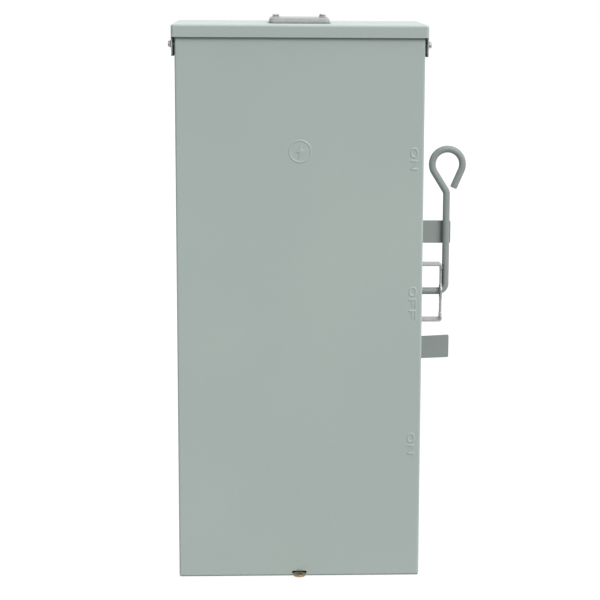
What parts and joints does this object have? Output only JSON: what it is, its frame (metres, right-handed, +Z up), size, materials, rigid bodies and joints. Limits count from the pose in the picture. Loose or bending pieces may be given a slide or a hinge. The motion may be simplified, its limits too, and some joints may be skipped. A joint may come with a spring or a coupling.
{
  "type": "ac disconnect box",
  "caption": "Tall grey-green rainproof switch box with a capped top, top-hinged cover and a hooked side handle that turns knife blades between two supplies.",
  "frame": {"origin": "middle of the flat back face, in the plane of the wall", "axes": "+Z up, +Y into the wall so the cover faces -Y, +X to the handle side"},
  "size_m": [0.3505, 0.1825, 0.6611],
  "materials": {
    "painted_sheet": "satin grey-green powder coat on sheet steel",
    "handle_paint": "satin grey-green enamel on steel bar and strip",
    "hub_metal": "dull cast closing plate",
    "zinc_plate": "zinc-plated steel",
    "yellow_zinc": "yellow passivated zinc on steel",
    "moulded_black": "moulded thermoset",
    "insulator": "moulded red-brown insulating board",
    "copper": "bare copper",
    "aluminium": "extruded aluminium"
  },
  "bodies": {
    "enclosure": {"base_screw_1": "zinc_plate", "base_screw_2": "zinc_plate", "base_screw_3": "zinc_plate", "base_screw_4": "zinc_plate", "bracket_rivet_1": "zinc_plate", "bracket_rivet_2": "zinc_plate", "enclosure_body": "painted_sheet", "ground_bar": "aluminium", "guide_bracket": "zinc_plate", "hasp_rivet_1": "zinc_plate", "hasp_rivet_2": "zinc_plate", "hinge_screw_left": "zinc_plate", "hinge_screw_right": "zinc_plate", "hub_plate": "hub_metal", "hub_screw_left": "zinc_plate", "hub_screw_right": "zinc_plate", "line_jaw_left": "copper", "line_jaw_right": "copper", "line_lug_left": "aluminium", "line_lug_right": "aluminium", "line_lug_screw_left": "zinc_plate", "line_lug_screw_right": "zinc_plate", "load_clip_left": "copper", "load_clip_right": "copper", "load_lug_left": "aluminium", "load_lug_right": "aluminium", "load_lug_screw_left": "zinc_plate", "load_lug_screw_right": "zinc_plate", "neutral_bar": "aluminium", "neutral_insulator": "insulator", "padlock_hasp": "yellow_zinc", "rotor_bearing_left": "moulded_black", "rotor_bearing_right": "moulded_black", "shaft_bushing": "zinc_plate", "standby_jaw_left": "copper", "standby_jaw_right": "copper", "standby_lug_left": "aluminium", "standby_lug_right": "aluminium", "standby_lug_screw_left": "zinc_plate", "standby_lug_screw_right": "zinc_plate", "stop_strap_lower": "handle_paint", "stop_strap_upper": "handle_paint", "strap_rivet_1": "zinc_plate", "strap_rivet_2": "zinc_plate", "strap_rivet_3": "zinc_plate", "strap_rivet_4": "zinc_plate", "switch_base": "insulator", "top_cap": "painted_sheet"},
    "cover": {"front_cover": "painted_sheet", "cover_stiffener": "painted_sheet"},
    "handle": {"handle_rod": "handle_paint", "shaft_collar": "zinc_plate", "shaft_dog": "zinc_plate"},
    "rotor": {"rotor_bar": "moulded_black", "blade_left": "copper", "blade_right": "copper"}
  },
  "joints": [
    {"name": "cover_hinge", "type": "hinge", "parent": "enclosure", "child": "cover", "pos_m": [0, -0.159, 0.3038], "axis": [-1, 0, 0], "range_deg": [0, 90]},
    {"name": "handle_turn", "type": "hinge", "parent": "enclosure", "child": "handle", "pos_m": [0.15, -0.074, 0.0045], "axis": [1, 0, 0], "range_deg": [0, 180]},
    {"name": "rotor_turn", "type": "hinge", "parent": "enclosure", "child": "rotor", "pos_m": [0, -0.074, 0.0045], "axis": [1, 0, 0], "range_deg": [0, 180]}
  ],
  "couplings": [
    {"joint": "rotor_turn", "follows": "handle_turn", "ratio": 1}
  ]
}
